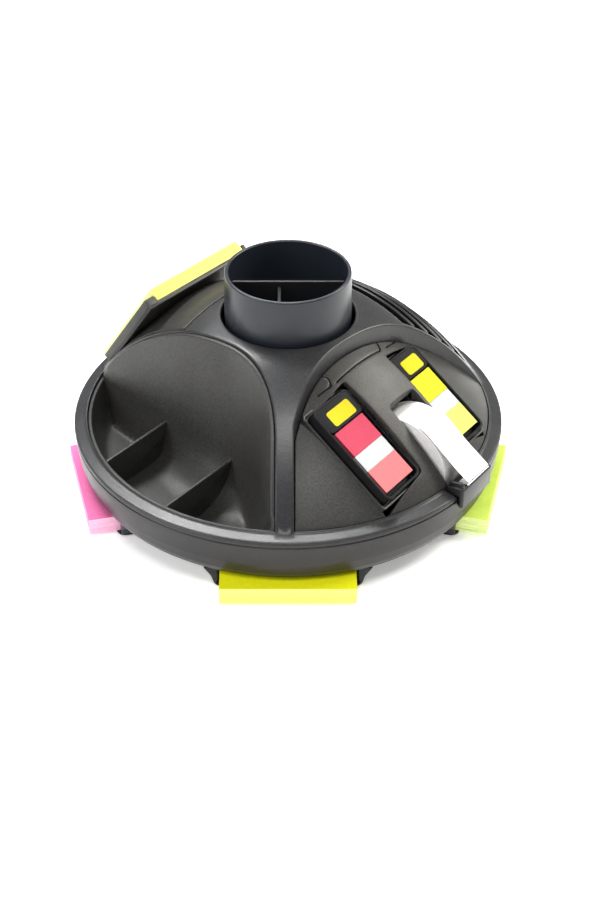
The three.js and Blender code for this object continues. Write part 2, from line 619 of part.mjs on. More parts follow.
for (const [name, item, look] of [['wide', WIDE_CASE, 'flagRed'], ['narrow', NARROW_CASE, 'flagYellow']]) {
  place(`${name}_flag_case`, flagCase(item), 'black');
  place(`${name}_flags`, flagStack(item), look);
  place(`${name}_flag_lid`, flagLid(item), 'clear');
}

export default group;
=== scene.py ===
"""Looks of the rotary desk organizer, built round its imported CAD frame.

Shapes are worked out in millimetres in the frame's axes (+Z up, the front facing -Y) and become
metres when a mesh is made. A lane is a straight bay that runs outward at an azimuth: "along" is
the distance from the turning axis, and "across" is measured to the left of it.
"""
import random
from math import acos, atan2, copysign, cos, hypot, pi, radians, sin, sqrt, tan

import bpy
import numpy as np
from mathutils import Matrix, Vector, geometry


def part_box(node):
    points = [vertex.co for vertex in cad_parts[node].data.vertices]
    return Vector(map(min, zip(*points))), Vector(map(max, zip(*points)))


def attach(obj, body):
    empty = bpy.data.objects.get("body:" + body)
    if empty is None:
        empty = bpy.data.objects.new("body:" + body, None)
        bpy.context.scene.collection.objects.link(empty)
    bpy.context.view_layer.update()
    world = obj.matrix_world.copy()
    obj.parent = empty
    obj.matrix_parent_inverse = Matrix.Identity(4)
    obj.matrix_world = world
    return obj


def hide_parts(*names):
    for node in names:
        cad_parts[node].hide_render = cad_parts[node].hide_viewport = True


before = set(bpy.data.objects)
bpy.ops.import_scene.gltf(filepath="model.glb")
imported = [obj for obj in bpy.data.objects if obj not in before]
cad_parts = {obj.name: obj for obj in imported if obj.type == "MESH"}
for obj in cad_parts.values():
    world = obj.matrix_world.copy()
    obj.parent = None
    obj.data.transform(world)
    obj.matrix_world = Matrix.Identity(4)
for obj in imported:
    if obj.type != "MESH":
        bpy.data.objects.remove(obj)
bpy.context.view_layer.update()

MM = 0.001
random.seed(7)

# ---- driving dimensions, in millimetres ----
CUP_HOLE = 38.75
DOME_RADIUS = 120.0
DOME = {"top": 112.0, "edge": 45.4, "bulge": 1.6, "shoulder": 0.85}
PANEL_DOME = {"top": 103.0, "edge": 45.0, "bulge": 1.35, "shoulder": 0.9}
RIM_RADIUS = 127.3
OPENING_RADIUS = 119.5
COVER = {"skin": 3.12, "liner": 12.0, "liner_width": 2.1, "lowest": 36.0, "fillet": 2.4, "edge": 0.9}
FLANGE = {"inner": 119.4, "inner_height": 45.4, "outer_height": 43.9, "seat": 43.3, "foot": 117.6}
BEYOND = 150.0  # past the rim, for openings that run out of the part
GRID_REACH = 128.0  # where the inner mesh points end

NOTE_AZIMUTH = 140.0
NOTE = {"side": 76.2, "thickness": 8.0, "tilt": 55.0, "reach": 119.8, "top": 51.7, "across": -2.5}
CRADLE = {"start": 41.0, "low": -44.1, "high": 43.7, "floor": -8.3, "rail": -4.0}
DISC_AZIMUTH = 50.0
DISC = {"count": 5, "first": 50.5, "pitch": 8.6, "slot": 6.4, "start": -46.0, "stagger": 4.0, "length": 127.0}
RACK = {"bottom": 33.0, "floor": 35.0, "margin": 3.0, "hidden": 6.8, "end_top": 53.0}

PANEL_AZIMUTH = -36.5
LANE_TILT = 34.5
CASE = {"length": 64.0, "height": 9.0, "lid": 1.4, "base_height": 67.2, "base_along": 81.0}
CASES = {
    "wide": {"along": 77.5, "across": -36.5, "width": 33.0},
    "narrow": {"along": 80.5, "across": 30.6, "width": 25.0},
}
TAPE = {"along": 87.5, "across": 2.5, "height": 48.0, "radius": 28.5, "width": 22.0, "core": 14.3}
TAPE_WELL = {"half": 12.2, "inner": 77.5}
WELL_GAP = 0.8
GROOVE_HALF = 0.33
CUTTER = {"inner": 119.4, "outer": 130.8, "half": 15.0, "edge_along": 130.4, "edge_height": 52.2}

BIN = {"floor": 22.0, "scoop_radius": 88.0, "scoop_top": 100.0, "inner_radius": 44.0, "wall": 2.2,
       "skin": 2.2, "draft": 9.0, "fillet": 30.0, "front_rim": 45.0}
BIN_DIVIDERS = {"azimuth": 231.5, "offsets": (-48.5, 6.0), "top": 44.6}
PAD = {"side": 76.2, "bottom": 2.3, "top": 12.8, "reach": 128.2}
PAD_TRAYS = {"front": 270.0, "left": 194.0, "right": 346.0, "rear": 90.0}
SHEET_SLIP = 0.16
BASE = {"disc": 56, "hole": 8, "wing": 42, "wing_end": 112, "top": 2.0, "bottom": 0.8, "foot": 98}


# ---- meshes ----
def placed(points, matrix):
    """Points carried along by a matrix."""
    full = np.array(matrix)
    return points @ full[:3, :3].T + full[:3, 3]


class Shape:
    """Closed shells gathered into one mesh; each face keeps the number of its finish."""

    def __init__(self):
        self.points = np.zeros((0, 3))
        self.faces = []
        self.finishes = []

    def add(self, shell, matrix=None, finish=0):
        points, faces = shell
        points = np.asarray(points, float)
        if matrix is not None:
            points = placed(points, matrix)
        first = len(self.points)
        self.points = np.vstack([self.points, points])
        self.faces += [tuple(first + int(i) for i in face) for face in faces]
        self.finishes += [finish] * len(faces)
        return self


def make(name, shape, body, node, *looks, sharp=38.0, slot=None):
    """Turns a shape into a piece that rides on a body and stands for the CAD node it replaces.

    Its looks are names of finishes; its slot argument is not used.
    """
    mesh = bpy.data.meshes.new(name)
    mesh.from_pydata([tuple(p) for p in shape.points * MM], [], shape.faces)
    for look in looks:
        mesh.materials.append(FINISH[look])
    mesh.polygons.foreach_set("material_index", shape.finishes)
    mesh.shade_smooth()
    mesh.set_sharp_from_angle(angle=radians(sharp))
    piece = bpy.data.objects.new(name, mesh)
    bpy.context.scene.collection.objects.link(piece)
    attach(piece, body)
    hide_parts(node)


def turn_z(degrees):
    return Matrix.Rotation(radians(degrees), 4, "Z")


def move(x, y, z):
    return Matrix.Translation((x, y, z))


def stack(loops):
    """A closed shell through loops with equally many points, counter-clockwise seen from the last one."""
    count = len(loops[0])
    last = (len(loops) - 1) * count
    faces = []
    for low in range(0, last, count):
        high = low + count
        faces += [(low + i, low + (i + 1) % count, high + (i + 1) % count, high + i) for i in range(count)]
    faces.append(tuple(range(count - 1, -1, -1)))
    faces.append(tuple(range(last, last + count)))
    return np.vstack(loops), faces


def turned(profile, sides):
    """A turned shell about Z from a closed, counter-clockwise outline of (radius, height) points."""
    points, faces, rings = [], [], []
    for radius, height in profile:
        if radius < 1e-6:
            rings.append([len(points)] * sides)
            points.append((0.0, 0.0, height))
            continue
        rings.append(list(range(len(points), len(points) + sides)))
        points += [(radius * cos(a), radius * sin(a), height)
                   for a in np.linspace(0, 2 * pi, sides, endpoint=False)]
    for low, high in zip(rings, rings[1:] + rings[:1]):
        for i in range(sides):
            j = (i + 1) % sides
            face = list(dict.fromkeys((low[i], low[j], high[j], high[i])))
            if len(face) > 2:
                faces.append(tuple(face))
    return np.array(points), faces


def softened(corners, radius, steps=4):
    """A closed outline with its corners rounded. A corner given as (x, y, r) takes its own radius."""
    points = []
    count = len(corners)
    for index, corner in enumerate(corners):
        here = np.array(corner[:2], float)
        back = np.array(corners[index - 1][:2], float) - here
        onward = np.array(corners[(index + 1) % count][:2], float) - here
        own = corner[2] if len(corner) > 2 else radius
        lengths = np.linalg.norm(back), np.linalg.norm(onward)
        back, onward = back / lengths[0], onward / lengths[1]
        half = acos(np.clip(back @ onward, -1, 1)) / 2
        if own <= 0 or half > radians(87):
            points.append(tuple(here))
            continue
        reach = min(own / tan(half), 0.48 * min(lengths))
        real = reach * tan(half)
        middle = here + (back + onward) / np.linalg.norm(back + onward) * real / sin(half)
        start, end = here + back * reach - middle, here + onward * reach - middle
        first = atan2(start[1], start[0])
        sweep = atan2(start[0] * end[1] - start[1] * end[0], start @ end)
        points += [(middle[0] + real * cos(first + sweep * k / steps),
                    middle[1] + real * sin(first + sweep * k / steps)) for k in range(steps + 1)]
    return points


def left_of(runs):
    """Unit vectors a quarter turn to the left of plan vectors."""
    return np.stack([-runs[:, 1], runs[:, 0]], 1) / np.linalg.norm(runs, axis=1)[:, None]


def inset(outline, distance):
    """Moves a closed counter-clockwise outline inward (outward when the distance is negative)."""
    line = np.asarray(outline, float)
    into, out = left_of(line - np.roll(line, 1, 0)), left_of(np.roll(line, -1, 0) - line)
    scale = distance / (1 + (into * out).sum(1))
    return line + (into + out) * scale[:, None]


def stepped(outline, levels):
    """A closed shell through copies of an outline, given as (distance moved inward, height)."""
    return stack([np.column_stack([inset(outline, d), np.full(len(outline), z)]) for d, z in levels])


def slab(outline, low, high, edge, steps=3):
    """An upright prism with softened top and bottom edges."""
    angles = [pi / 2 * k / steps for k in range(steps + 1)]
    levels = [(edge * (1 - sin(a)), low + edge * (1 - cos(a))) for a in angles]
    levels += [(edge * (1 - cos(a)), high - edge * (1 - sin(a))) for a in angles]
    return stepped(outline, levels)


def tray(outline, wall, bottom, floor, top):
    """An open tray: an outline's prism with a pocket that leaves its wall and floor."""
    edge, fillet = 0.4, 0.6
    outside = [(edge, bottom), (0, bottom + edge), (0, top - edge), (edge, top)]
    inside = [(wall - edge, top), (wall, top - edge), (wall, floor + fillet), (wall + fillet, floor)]
    return stepped(outline, outside + inside)


def rectangle(low_x, low_y, high_x, high_y, corner, steps=6):
    return softened([(low_x, low_y), (high_x, low_y), (high_x, high_y), (low_x, high_y)], corner, steps)


def centred(length, width, corner, steps=6):
    return rectangle(-length / 2, -width / 2, length / 2, width / 2, corner, steps)


def ring(inner, low, outer, high, edge, sides, steps=4):
    """A turned ring with softened edges."""
    return turned(rectangle(inner, low, outer, high, edge, steps), sides)


def across_section(section, low, high, edge):
    """A prism whose section is in the (X, Z) plane and which runs along Y."""
    points, faces = slab(section, -high, -low, edge)
    return np.column_stack([points[:, 0], -points[:, 2], points[:, 1]]), faces


# ---- pieces with a top surface over a plan region ----
def triangles_over(lines, free):
    points, edges = [], []
    for line in lines:
        first = len(points)
        points += [Vector(p) for p in line]
        edges += [(first + i, first + (i + 1) % len(line)) for i in range(len(line))]
    points += [Vector(p) for p in free]
    found = geometry.delaunay_2d_cdt(points, edges, [], 0, 1e-6)
    flat = np.array([p[:] for p in found[0]])
    faces = np.array([f for f in found[2] if len(f) == 3])
    a, b, c = (flat[faces[:, k]] for k in range(3))
    area = (b[:, 0] - a[:, 0]) * (c[:, 1] - a[:, 1]) - (b[:, 1] - a[:, 1]) * (c[:, 0] - a[:, 0])
    faces[area < 0] = faces[area < 0][:, ::-1]
    return flat, faces[abs(area) > 1e-7]


def border_edges(faces):
    """The edges that belong to one triangle only, in that triangle's direction."""
    edges = {(f[k], f[(k + 1) % 3]) for f in faces.tolist() for k in range(3)}
    return [(a, b) for a, b in edges if (b, a) not in edges]


def border_loops(flat, faces):
    onward = dict(border_edges(faces))
    loops = []
    while onward:
        start, here = next(iter(onward.items()))
        del onward[start]
        loop = [start]
        while here != start and here in onward:
            loop.append(here)
            here = onward.pop(here)
        if len(loop) > 2:
            loops.append(flat[loop])
    return loops


def resampled(loop, step):
    """A loop with even steps between its corners."""
    before, after = loop - np.roll(loop, 1, 0), np.roll(loop, -1, 0) - loop
    turn = abs(np.arctan2(before[:, 0] * after[:, 1] - before[:, 1] * after[:, 0], (before * after).sum(1)))
    corners = np.where(turn > radians(24))[0]
    corners = corners if len(corners) else np.array([0])
    points = []
    for start, end in zip(corners, np.append(corners[1:], corners[0] + len(loop))):
        run = loop[np.arange(start, end + 1) % len(loop)]
        length = np.append(0, np.cumsum(np.linalg.norm(np.diff(run, axis=0), axis=1)))
        places = np.linspace(0, length[-1], max(1, round(length[-1] / step)) + 1)[:-1]
        points += list(zip(np.interp(places, length, run[:, 0]), np.interp(places, length, run[:, 1])))
    return np.array(points)


def within(points, loops):
    """Which points an odd number of the loops go round."""
    inside = np.zeros(len(points), bool)
    x, y = points[:, 0][:, None], points[:, 1][:, None]
    for loop in loops:
        a, b = loop, np.roll(loop, -1, 0)
        crosses = (a[:, 1] > y) != (b[:, 1] > y)
        rise = np.where(b[:, 1] == a[:, 1], 1e-12, b[:, 1] - a[:, 1])
        inside ^= (crosses & (x < (b[:, 0] - a[:, 0]) * (y - a[:, 1]) / rise + a[:, 0])).sum(1) % 2 == 1
    return inside


def within_any(points, outlines):
    return np.logical_or.reduce([within(points, [outline]) for outline in outlines])


def gap_to(points, loops):
    """Each point's distance to the nearest loop."""
    best = np.full(len(points), 1e9)
    for loop in loops:
        a, run = loop, np.roll(loop, -1, 0) - loop
        size = (run * run).sum(1)
        for first in range(0, len(points), 4000):
            p = points[first:first + 4000][:, None, :]
            share = np.clip(((p - a) * run).sum(2) / size, 0, 1)
            away = np.linalg.norm(p - a - share[:, :, None] * run, axis=2).min(1)
            best[first:first + 4000] = np.minimum(best[first:first + 4000], away)
    return best


def polar_grid(spacing):
    """Evenly spread points on circles out to the rim."""
    points = []
    for radius in np.arange(spacing, GRID_REACH, spacing):
        count = max(6, round(2 * pi * radius / spacing))
        angles = np.linspace(0, 2 * pi, count, endpoint=False)
        points += [(radius * cos(a), radius * sin(a)) for a in angles]
    return np.array(points)


def plate(lines, inside, top, bottom, rows, spacing, step=1.6):
    """A closed shell over the plan region that inside() accepts, bordered by the given lines.

    top(points, gap) and bottom(points, gap) give heights, where gap is the distance to the border.
    Rows of points follow the border at the given gaps, so that edges and walls stay smooth.
    """
    flat, faces = triangles_over(lines, [])
    loops = border_loops(flat, faces[inside(flat[faces].mean(1))])
    loops = [resampled(loop, step) for loop in loops]
    free = []
    for gap in rows:
        for loop in loops:
            row = loop + left_of(np.roll(loop, -1, 0) - np.roll(loop, 1, 0)) * gap
            free.append(row[gap_to(row, loops) > 0.93 * gap])
    grid = polar_grid(spacing)
    grid = grid[within(grid, loops)]
    free.append(grid[gap_to(grid, loops) > max(rows) + 0.45 * spacing])
    flat, faces = triangles_over(loops, np.vstack(free))
    faces = faces[within(flat[faces].mean(1), loops)]
    used = np.unique(faces)
    renumber = np.zeros(len(flat), int)
    renumber[used] = np.arange(len(used))
    flat, faces = flat[used], renumber[faces]
    gap = gap_to(flat, loops)
    gap[gap < 1e-4] = 0
    count = len(flat)
    under = bottom(flat, gap)
    under = under if under.ndim == 2 else np.column_stack([flat, under])
    points = np.vstack([np.column_stack([flat, top(flat, gap)]), under])
    walls = [(count + a, count + b, b, a) for a, b in sorted(border_edges(faces))]
    return points, faces.tolist() + (faces[:, ::-1] + count).tolist() + walls


def inside_both(outline, radius):
    """A test for points inside an outline and a circle about the axis."""
    return lambda points: within(points, [outline]) & (radius_of(points) < radius)


def edge_fall(gap, radius):
    """How far a rounded edge has dropped at a distance from the border."""
    left = np.clip(radius - gap, 0, radius)
    return radius - np.sqrt(radius * radius - left * left)


def radius_of(points):
    return np.hypot(points[:, 0], points[:, 1])


def dome_height(dome, radius):
    share = np.clip((radius - CUP_HOLE) / (DOME_RADIUS - CUP_HOLE), 0, 1)
    return dome["edge"] + (dome["top"] - dome["edge"]) * (1 - share ** dome["bulge"]) ** dome["shoulder"]


def smooth_high(a, b, width):
    """The higher of two surfaces, with a fillet of about this width where they meet."""
    blend = np.clip(0.5 + 0.5 * (a - b) / width, 0, 1)
    return b + (a - b) * blend + width * blend * (1 - blend)


def circle(radius, count=360):
    angles = np.linspace(0, 2 * pi, count, endpoint=False)
    return np.column_stack([radius * np.cos(angles), radius * np.sin(angles)])


# ---- plan outlines, all counter-clockwise ----
def plan(azimuth, along, across):
    angle = radians(azimuth)
    return (along * cos(angle) - across * sin(angle),
            along * sin(angle) + across * cos(angle))


def lane_box(azimuth, low_along, low_across, high_along, high_across, corner=0.0):
    outline = rectangle(low_along, low_across, high_along, high_across, corner)
    return np.array([plan(azimuth, *p) for p in outline])


def arc_between(corner, from_direction, to_direction, radius, steps):
    turn = to_direction - from_direction
    reach = radius * tan(radians(abs(turn) / 2))
    heading = radians(from_direction)
    start = corner[0] - reach * cos(heading), corner[1] - reach * sin(heading)
    side = copysign(90, turn)
    facing = radians(from_direction + side)
    centre = start[0] + radius * cos(facing), start[1] + radius * sin(facing)
    angles = [radians(from_direction - side + turn * k / steps) for k in range(steps + 1)]
    return [(centre[0] + radius * cos(a), centre[1] + radius * sin(a)) for a in angles]


def bin_outline():
    far = plan(NOTE_AZIMUTH, BEYOND, 47.5)
    curve = arc_between((-7, -53.1), 90, 140, 75, 40)
    return np.array([(-7, -BEYOND), *curve, far, (-190, -60), (-110, -190)])


def spline(points, count):
    """A Catmull-Rom curve through plan points."""
    points = np.array(points, float)
    last = len(points) - 1
    found = []
    for place in np.linspace(0, last, count):
        first = min(int(place), last - 1)
        t = place - first
        p0, p1, p2, p3 = (points[min(max(first + k, 0), last)] for k in (-1, 0, 1, 2))
        v1, v2 = (p2 - p0) / 2, (p3 - p1) / 2
        cubic, square = 2 * p1 - 2 * p2 + v1 + v2, 3 * p2 - 3 * p1 - 2 * v1 - v2
        found.append(cubic * t ** 3 + square * t * t + v1 * t + p1)
    return found


def panel_outline():
    curve = spline([(3.2, -82), (12.5, -57), (30.7, -31), (61, -2.3), (95, 15.5), (131, 25)], 70)
    return np.array([*curve[::-1], (3.2, -BEYOND), (110, -190), (190, -60)])


def note_outline():
    return lane_box(NOTE_AZIMUTH, 40.5, -44.6, 170, 44.2)


def slot_start(reach):
    return DISC["start"] - DISC["stagger"] * (reach - DISC["first"]) / DISC["pitch"]


def disc_outline(near, far, extra):
    end = DISC["length"] + extra
    corners = [(near, -extra), (far, -extra), (far, end), (near, end)]
    return np.array([plan(DISC_AZIMUTH, reach, slot_start(reach) + offset) for reach, offset in corners])


# ---- finishes ----
def finish_base(name):
    material = bpy.data.materials.new(name)
    material.use_nodes = True
    tree = material.node_tree
    place = tree.nodes.new("ShaderNodeTexCoord")
    return material, tree, tree.nodes["Principled BSDF"], place.outputs["Object"]


def settle(node, inputs):
    """Sets a node's inputs by name: another node's output is linked, anything else is the value."""
    for name, value in inputs.items():
        if isinstance(value, bpy.types.NodeSocket):
            node.id_data.links.new(value, node.inputs[name])
        else:
            node.inputs[name].default_value = value
    return node


def add_node(tree, kind, inputs, output):
    return settle(tree.nodes.new("ShaderNode" + kind), inputs).outputs[output]


def noise(tree, place, scale, detail=2.0, roughness=0.5):
    inputs = {"Vector": place, "Scale": scale, "Detail": detail, "Roughness": roughness}
    return add_node(tree, "TexNoise", inputs, "Fac")


def stretched(tree, place, scale):
    return add_node(tree, "Mapping", {"Vector": place, "Scale": scale}, "Vector")


def ramp(tree, value, low, high, low_at=0.3, high_at=0.7):
    node = settle(tree.nodes.new("ShaderNodeValToRGB"), {"Fac": value})
    for element, colour, place in zip(node.color_ramp.elements, (low, high), (low_at, high_at)):
        element.position = place
        element.color = (*colour, 1)
    return node.outputs["Color"]


def spread(tree, value, low, high, from_low=0.3, from_high=0.7):
    inputs = {"Value": value, "From Min": from_low, "From Max": from_high, "To Min": low, "To Max": high}
    return add_node(tree, "MapRange", inputs, "Result")


def bump(tree, value, height, strength):
    inputs = {"Height": value, "Distance": height * MM, "Strength": strength}
    return add_node(tree, "Bump", inputs, "Normal")


def shade(colour, factor):
    return tuple(c * factor for c in colour)


def plastic(name, colour, roughness, speckle=0.3, grain=0.05, strength=0.5, grain_scale=1100, specular=0.5):
    """Moulded plastic: a fine grain, a faint mottling and slightly uneven gloss."""
    material, tree, shader, place = finish_base(name)
    fine = noise(tree, place, grain_scale, 3.0, 0.6)
    broad = noise(tree, place, 38, 3.0)
    settle(shader, {
        "Base Color": ramp(tree, fine, shade(colour, 1 - speckle), shade(colour, 1 + speckle)),
        "Roughness": spread(tree, broad, roughness - 0.05, roughness + 0.05),
        "Specular IOR Level": specular,
        "Normal": bump(tree, fine, grain, strength),
    })
    return material


def paper(name, top, edge, painted_glow=0.0):
    """A gummed pad: even colour on the sheets' faces, pale streaked lines along the cut edges, and an
    optional emission in the same colours that brightens the paper as painted light.
    """
    material, tree, shader, place = finish_base(name)
    normal = tree.nodes.new("ShaderNodeNewGeometry").outputs["True Normal"]
    upward = add_node(tree, "SeparateXYZ", {0: normal}, "Z")
    sheets = noise(tree, stretched(tree, place, (0.05, 0.05, 1.0)), 2600, 4.0, 0.7)
    fibre = noise(tree, place, 420, 4.0)
    mix = tree.nodes.new("ShaderNodeMix")
    mix.data_type = "RGBA"
    colours = settle(mix, {
        "Factor": spread(tree, upward, 1, 0, 0.4, 0.75),
        6: ramp(tree, fibre, shade(top, 0.95), shade(top, 1.03)),
        7: ramp(tree, sheets, shade(edge, 0.86), shade(edge, 1.08), 0.36, 0.64),
    }).outputs[2]
    settle(shader, {
        # the emission is painted light: it lifts the paper's faces out of shade and stands in for the
        # fluorescent dye's brightness
        "Base Color": colours, "Emission Color": colours, "Emission Strength": painted_glow,
        "Roughness": 0.85, "Specular IOR Level": 0.2, "Normal": bump(tree, sheets, 0.05, 0.5),
    })
    return material


def metal(name, colour, roughness, stretch):
    """Brushed or stamped metal, its scratches drawn out along one axis."""
    material, tree, shader, place = finish_base(name)
    scratches = noise(tree, stretched(tree, place, stretch), 900, 4.0)
    settle(shader, {
        "Base Color": ramp(tree, scratches, shade(colour, 0.85), colour),
        "Roughness": spread(tree, scratches, roughness - 0.08, roughness + 0.1),
        "Metallic": 1.0, "Normal": bump(tree, scratches, 0.01, 0.3),
    })
    return material


def frosted_tape():
    """Matte office tape: milky, with faint bands where the winding pressure changed."""
    material, tree, shader, place = finish_base("frosted_tape")
    bands = noise(tree, place, 55)
    settle(shader, {
        "Base Color": ramp(tree, bands, (0.60, 0.59, 0.575), (0.70, 0.70, 0.69)),
        "Roughness": spread(tree, bands, 0.34, 0.48),
        "Subsurface Weight": 0.25, "Subsurface Radius": (0.004, 0.004, 0.0035), "Subsurface Scale": 0.5,
        "Normal": bump(tree, noise(tree, place, 1500), 0.01, 0.25),
    })
    return material


def cardboard():
    material, tree, shader, place = finish_base("wound_core")
    fibres = noise(tree, place, 700, 5.0, 0.7)
    settle(shader, {
        "Base Color": ramp(tree, fibres, (0.36, 0.25, 0.15), (0.56, 0.43, 0.29)),
        "Roughness": 0.9, "Normal": bump(tree, fibres, 0.06, 0.6),
    })
    return material


def clear_plastic():
    """A thin clear lid: see-through from above; at its edges it turns into a coated surface whose reflections
    come from the lamps and whose white base colour is a painted highlight.
    """
    material, tree, shader, place = finish_base("clear_lid")
    # the white base colour shows only where the lid turns away at its edges, a painted highlight
    settle(shader, {"Base Color": (0.95, 0.96, 0.97, 1), "Roughness": 0.06, "Coat Weight": 1.0,
                    "Normal": bump(tree, noise(tree, place, 60), 0.05, 0.3)})
    through = add_node(tree, "BsdfTransparent", {"Color": (0.97, 0.98, 0.98, 1)}, 0)
    turning = add_node(tree, "LayerWeight", {"Blend": 0.28}, "Facing")
    share = spread(tree, turning, 0.0, 0.85, 0.62, 0.98)
    mixed = add_node(tree, "MixShader", {"Fac": share, 1: through, 2: shader.outputs[0]}, 0)
    settle(tree.nodes["Material Output"], {"Surface": mixed})
    return material


FINISH = {
    "cover": plastic("grained_charcoal", (0.018, 0.0185, 0.020), 0.34, 0.5, 0.1, 0.75, 1100, 0.42),
    "insert": plastic("grained_insert", (0.027, 0.0265, 0.0245), 0.42, 0.45, 0.1, 0.75, 1100, 0.34),
    "bowl": plastic("satin_bowl", (0.015, 0.0132, 0.0138), 0.36, 0.12, 0.01, 0.2, 700, 0.3),
    "cup": plastic("satin_cup", (0.012, 0.015, 0.021), 0.34, 0.1, 0.012, 0.2, 800, 0.4),
    "black_plastic": plastic("smooth_black", (0.009, 0.009, 0.010), 0.32, 0.2, 0.015, 0.3, 900, 0.34),
    "case_black": plastic("case_black", (0.006, 0.006, 0.007), 0.55, 0.2, 0.01, 0.3, 900, 0.12),
    "rubber": plastic("rubber", (0.012, 0.012, 0.012), 0.85, 0.2, 0.1, 0.6, 600),
    "glide": plastic("acetal", (0.66, 0.64, 0.58), 0.4, 0.06, 0.02, 0.3),
    "steel": metal("zinc_steel", (0.62, 0.62, 0.64), 0.32, (1, 1, 0.2)),
    "blade": metal("stamped_blade", (0.78, 0.78, 0.80), 0.25, (0.1, 1, 1)),
    # the last number on the neon, pink and lime pads is a painted glow, an emission that brightens them
    # against shade
    "paper_neon": paper("neon_paper", (0.72, 0.71, 0.004), (0.84, 0.83, 0.22), 0.05),
    "paper_pink": paper("pink_paper", (0.80, 0.18, 0.40), (0.86, 0.48, 0.64), 0.06),
    "paper_lime": paper("lime_paper", (0.55, 0.72, 0.11), (0.72, 0.84, 0.34), 0.12),
    "paper_canary": paper("canary_paper", (0.74, 0.72, 0.14), (0.78, 0.76, 0.30)),
    "flags_red": paper("red_flags", (0.48, 0.055, 0.095), (0.42, 0.05, 0.08)),
    "flags_salmon": paper("salmon_flags", (0.55, 0.155, 0.165), (0.48, 0.14, 0.14)),
    "flags_yellow": paper("yellow_flags", (0.57, 0.51, 0.02), (0.52, 0.46, 0.025)),
    "flags_pale": paper("pale_flags", (0.58, 0.56, 0.13), (0.52, 0.50, 0.11)),
    "flags_white": paper("white_flags", (0.49, 0.485, 0.49), (0.45, 0.45, 0.45)),
    "label": paper("plain_label", (0.56, 0.45, 0.015), (0.52, 0.4, 0.02)),
    "tape": frosted_tape(),
    "core": cardboard(),
    "clear": clear_plastic(),
}


# ---- bowl, cover and cup ----
def screw_places():
    for index in range(1, 5):
        low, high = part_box(f"cover_screw_{index}")
        middle = (low + high) / 2 / MM
        yield middle.x, middle.y


def build_bowl():
    outer = [(118.2, 13.5, 0.8), (121.2, 15.2, 2.5), (123.6, 19.6, 6), (125.4, 26, 8), (126.9, 36, 6),
             (127.1, 39.6, 0.4), (126.5, 40.1, 0.25), (126.5, 40.7, 0.25), (RIM_RADIUS, 41.1, 0.4),
             (RIM_RADIUS, 43.0, 0.5)]
    inner = [(124.9, 43.0, 0.4), (124.9, 38.0, 6), (122.4, 24.0, 6), (118.6, 16.2, 3)]
    profile = softened([(4.6, 13.5, 0.4), *outer, *inner, (4.6, 16.2, 0.4)], 0.5, 5)
    shape = Shape().add(turned(profile, 256))
    boss = softened([(2.0, 16.0, 0), (5.2, 16.0, 0), (5.2, 21.0, 0.4), (2.0, 21.0, 0.2)], 0.2)
    for x, y in screw_places():
        shape.add(turned(boss, 32), move(x, y, 0))
    make("bowl_moulding", shape, "carousel", "bowl_shell", "bowl")


def cutter_notch():
    gap = 0.4
    return lane_box(PANEL_AZIMUTH, CUTTER["inner"] - gap, TAPE["across"] - CUTTER["half"] - gap,
                    BEYOND, TAPE["across"] + CUTTER["half"] + gap)


def cover_surface(points):
    radius = radius_of(points)
    slope = (FLANGE["inner_height"] - FLANGE["outer_height"]) / (RIM_RADIUS - FLANGE["inner"])
    flange = FLANGE["inner_height"] - (radius - FLANGE["inner"]) * slope
    fall = np.clip(radius - DOME_RADIUS, 0, None) * 3
    return smooth_high(dome_height(DOME, radius) - fall, flange, COVER["fillet"])


def build_cover():
    openings = [bin_outline(), panel_outline(), note_outline()]
    near = DISC["first"] - DISC["slot"] / 2
    disc_bay = disc_outline(near, near + DISC["pitch"] * (DISC["count"] - 1) + DISC["slot"], RACK["margin"])
    notch = cutter_notch()

    def inside(points):
        radius = radius_of(points)
        open_here = within_any(points, openings) & (radius < OPENING_RADIUS)
        open_here |= within_any(points, [disc_bay, notch])
        return (radius < RIM_RADIUS) & (radius > CUP_HOLE) & ~open_here

    def top(points, gap):
        return cover_surface(points) - edge_fall(gap, COVER["edge"])

    def bottom(points, gap):
        radius = radius_of(points)
        lined = (gap_to(points, openings[:2]) < COVER["liner_width"]) & (radius < OPENING_RADIUS + 0.2)
        skin = cover_surface(points) - np.where(lined, COVER["liner"], COVER["skin"])
        return np.where(radius > FLANGE["foot"], FLANGE["seat"], np.maximum(skin, COVER["lowest"]))

    lines = [circle(RIM_RADIUS), circle(OPENING_RADIUS), circle(CUP_HOLE), *openings, disc_bay, notch]
    rows = (0.08, 0.26, 0.52, 0.9, 1.5, 2.3)
    shape = Shape().add(plate(lines, inside, top, bottom, rows, 2.6))
    for x, y in screw_places():
        height = float(dome_height(DOME, hypot(x, y) + 4))
        shape.add(ring(1.9, 21.3, 4.0, height - 4, 0, 24), move(x, y, 0))
    make("cover_moulding", shape, "carousel", "top_cover", "cover", sharp=33)


def build_cup():
    foot = [(31.4, 22, 0), (31.4, 18, 0.5), (34, 18, 0.8)]
    outside = [(36.4, 104, 20), (36.75, 113, 12), (36.4, 127, 20)]
    lip = [(36.25, 140, 1.1), (33.9, 140, 1.1)]
    inside = [(33.9, 127, 8), (34.1, 113, 8), (31.4, 24.6, 2)]
    profile = softened([(0, 22, 0), *foot, *outside, *lip, *inside, (0, 24.6, 0)], 0.5, 6)
    make("cup_moulding", Shape().add(turned(profile, 200)), "carousel", "pen_cup", "cup", sharp=50)


